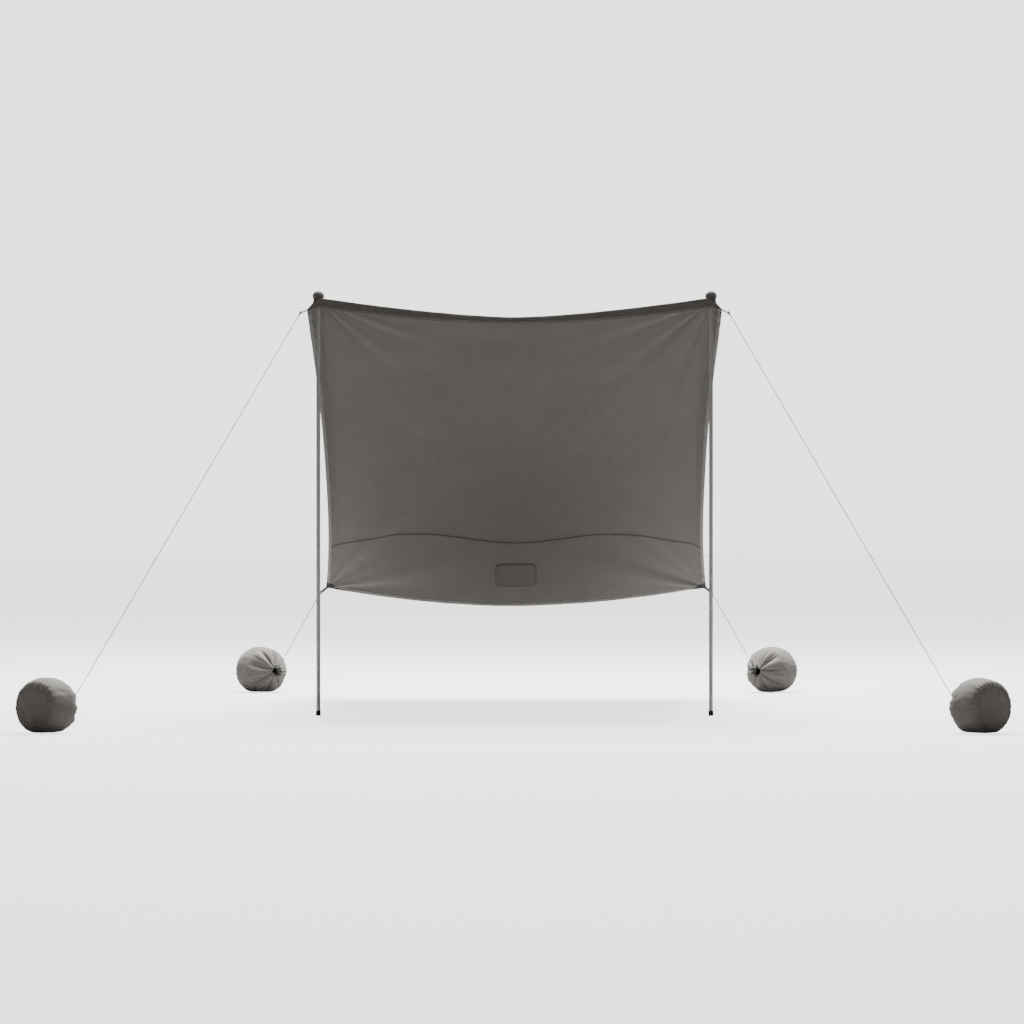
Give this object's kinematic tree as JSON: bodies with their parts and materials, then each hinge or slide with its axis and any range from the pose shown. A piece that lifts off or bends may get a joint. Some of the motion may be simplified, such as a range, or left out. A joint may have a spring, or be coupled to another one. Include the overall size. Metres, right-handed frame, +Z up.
{
  "type": "tarp shelter",
  "caption": "Sloping fabric sun shelter on two shock-corded poles, guyed at its corners to sand-filled anchor bags that stand on the ground.",
  "frame": {"origin": "on the ground, at the middle of the shelter's whole layout", "axes": "+Z up, -Y towards the open front, +X to the right as seen from the front; symmetric about the YZ plane"},
  "size_m": [4.337, 4.1934, 1.9998],
  "materials": {
    "canopy_fabric": "woven polyester, matt",
    "hem_tape": "folded hem, matt",
    "black_webbing": "flat webbing",
    "guyline_cord": "braided cord, satin",
    "drawcord": "braided cord",
    "sand": "dry sand",
    "black_plastic": "moulded, matt",
    "pole_tube": "anodised, satin",
    "ferrule_tube": "drawn, satin",
    "foot_rubber": "moulded, matt",
    "shock_cord": "braided cover",
    "bag_fabric": "woven polyester, matt",
    "spring_steel": "drawn wire"
  },
  "bodies": {
    "shelter": {"canopy_main_panel": "canopy_fabric", "canopy_rear_panel": "canopy_fabric", "front_valance": "canopy_fabric", "front_hem": "hem_tape", "rear_hem": "hem_tape", "left_hem": "hem_tape", "right_hem": "hem_tape", "corner_patches": "black_webbing", "corner_knots": "guyline_cord", "bag_drawcords": "drawcord", "sand_fills": "sand", "left_peak_pocket": "canopy_fabric", "left_peak_patch": "canopy_fabric", "right_peak_pocket": "canopy_fabric", "right_peak_patch": "canopy_fabric", "front_left_corner_strap": "black_webbing", "front_left_guyline": "guyline_cord", "front_left_bag_shell": "bag_fabric", "front_left_bag_end": "bag_fabric", "front_right_corner_strap": "black_webbing", "front_right_guyline": "guyline_cord", "front_right_bag_shell": "bag_fabric", "front_right_bag_end": "bag_fabric", "rear_left_corner_strap": "black_webbing", "rear_left_guyline": "guyline_cord", "rear_left_bag_shell": "bag_fabric", "rear_left_bag_end": "bag_fabric", "rear_right_corner_strap": "black_webbing", "rear_right_guyline": "guyline_cord", "rear_right_bag_shell": "bag_fabric", "rear_right_bag_end": "bag_fabric"},
    "left_pole_top": {"left_pole_cap": "black_plastic", "left_pole_upper_section": "pole_tube", "left_pole_upper_ferrule": "ferrule_tube", "left_pole_shock_cord": "shock_cord"},
    "left_pole_middle": {"left_pole_middle_section": "pole_tube", "left_pole_lower_ferrule": "ferrule_tube"},
    "left_pole_bottom": {"left_pole_lower_section": "pole_tube", "left_pole_foot": "foot_rubber"},
    "right_pole_top": {"right_pole_cap": "black_plastic", "right_pole_upper_section": "pole_tube", "right_pole_upper_ferrule": "ferrule_tube", "right_pole_shock_cord": "shock_cord"},
    "right_pole_middle": {"right_pole_middle_section": "pole_tube", "right_pole_lower_ferrule": "ferrule_tube"},
    "right_pole_bottom": {"right_pole_lower_section": "pole_tube", "right_pole_foot": "foot_rubber"},
    "front_left_lock": {"front_left_lock_body": "black_plastic", "front_left_lock_spring": "spring_steel"},
    "front_left_plunger": {"front_left_lock_plunger": "black_plastic"},
    "front_right_lock": {"front_right_lock_body": "black_plastic", "front_right_lock_spring": "spring_steel"},
    "front_right_plunger": {"front_right_lock_plunger": "black_plastic"},
    "rear_left_lock": {"rear_left_lock_body": "black_plastic", "rear_left_lock_spring": "spring_steel"},
    "rear_left_plunger": {"rear_left_lock_plunger": "black_plastic"},
    "rear_right_lock": {"rear_right_lock_body": "black_plastic", "rear_right_lock_spring": "spring_steel"},
    "rear_right_plunger": {"rear_right_lock_plunger": "black_plastic"}
  },
  "joints": [
    {"name": "left_pole_lean", "type": "hinge", "parent": "shelter", "child": "left_pole_top", "pos_m": [-0.924, -0.4935, 1.975], "axis": [1, 0, 0], "range_deg": [-8, 8]},
    {"name": "left_pole_upper_pull", "type": "slide", "parent": "left_pole_top", "child": "left_pole_middle", "axis": [0, 0, -1], "range_m": [0, 0.05], "stiffness_N_per_m": 60, "springref_m": -0.12, "deforming": ["left_pole_shock_cord"]},
    {"name": "left_pole_lower_pull", "type": "slide", "parent": "left_pole_middle", "child": "left_pole_bottom", "axis": [0, 0, -1], "range_m": [0, 0.05], "stiffness_N_per_m": 60, "springref_m": -0.12, "deforming": ["left_pole_shock_cord"]},
    {"name": "right_pole_lean", "type": "hinge", "parent": "shelter", "child": "right_pole_top", "pos_m": [0.924, -0.4935, 1.975], "axis": [1, 0, 0], "range_deg": [-8, 8]},
    {"name": "right_pole_upper_pull", "type": "slide", "parent": "right_pole_top", "child": "right_pole_middle", "axis": [0, 0, -1], "range_m": [0, 0.05], "stiffness_N_per_m": 60, "springref_m": -0.12, "deforming": ["right_pole_shock_cord"]},
    {"name": "right_pole_lower_pull", "type": "slide", "parent": "right_pole_middle", "child": "right_pole_bottom", "axis": [0, 0, -1], "range_m": [0, 0.05], "stiffness_N_per_m": 60, "springref_m": -0.12, "deforming": ["right_pole_shock_cord"]},
    {"name": "front_left_lock_slide", "type": "slide", "parent": "shelter", "child": "front_left_lock", "axis": [0.3956, 0.5353, 0.7463], "range_m": [0, 0.15]},
    {"name": "front_left_lock_press", "type": "slide", "parent": "front_left_lock", "child": "front_left_plunger", "axis": [-0.8042, 0.5944, 0], "range_m": [0, 0.004], "stiffness_N_per_m": 400, "springref_m": -0.004, "deforming": ["front_left_lock_spring"]},
    {"name": "front_right_lock_slide", "type": "slide", "parent": "shelter", "child": "front_right_lock", "axis": [-0.3956, 0.5353, 0.7463], "range_m": [0, 0.15]},
    {"name": "front_right_lock_press", "type": "slide", "parent": "front_right_lock", "child": "front_right_plunger", "axis": [-0.8042, -0.5944, 0], "range_m": [0, 0.004], "stiffness_N_per_m": 400, "springref_m": -0.004, "deforming": ["front_right_lock_spring"]},
    {"name": "rear_left_lock_slide", "type": "slide", "parent": "shelter", "child": "rear_left_lock", "axis": [0.3844, -0.6603, 0.6452], "range_m": [0, 0.15]},
    {"name": "rear_left_lock_press", "type": "slide", "parent": "rear_left_lock", "child": "rear_left_plunger", "axis": [0.8643, 0.5031, 0], "range_m": [0, 0.004], "stiffness_N_per_m": 400, "springref_m": -0.004, "deforming": ["rear_left_lock_spring"]},
    {"name": "rear_right_lock_slide", "type": "slide", "parent": "shelter", "child": "rear_right_lock", "axis": [-0.3844, -0.6603, 0.6452], "range_m": [0, 0.15]},
    {"name": "rear_right_lock_press", "type": "slide", "parent": "rear_right_lock", "child": "rear_right_plunger", "axis": [0.8643, -0.5031, 0], "range_m": [0, 0.004], "stiffness_N_per_m": 400, "springref_m": -0.004, "deforming": ["rear_right_lock_spring"]}
  ]
}
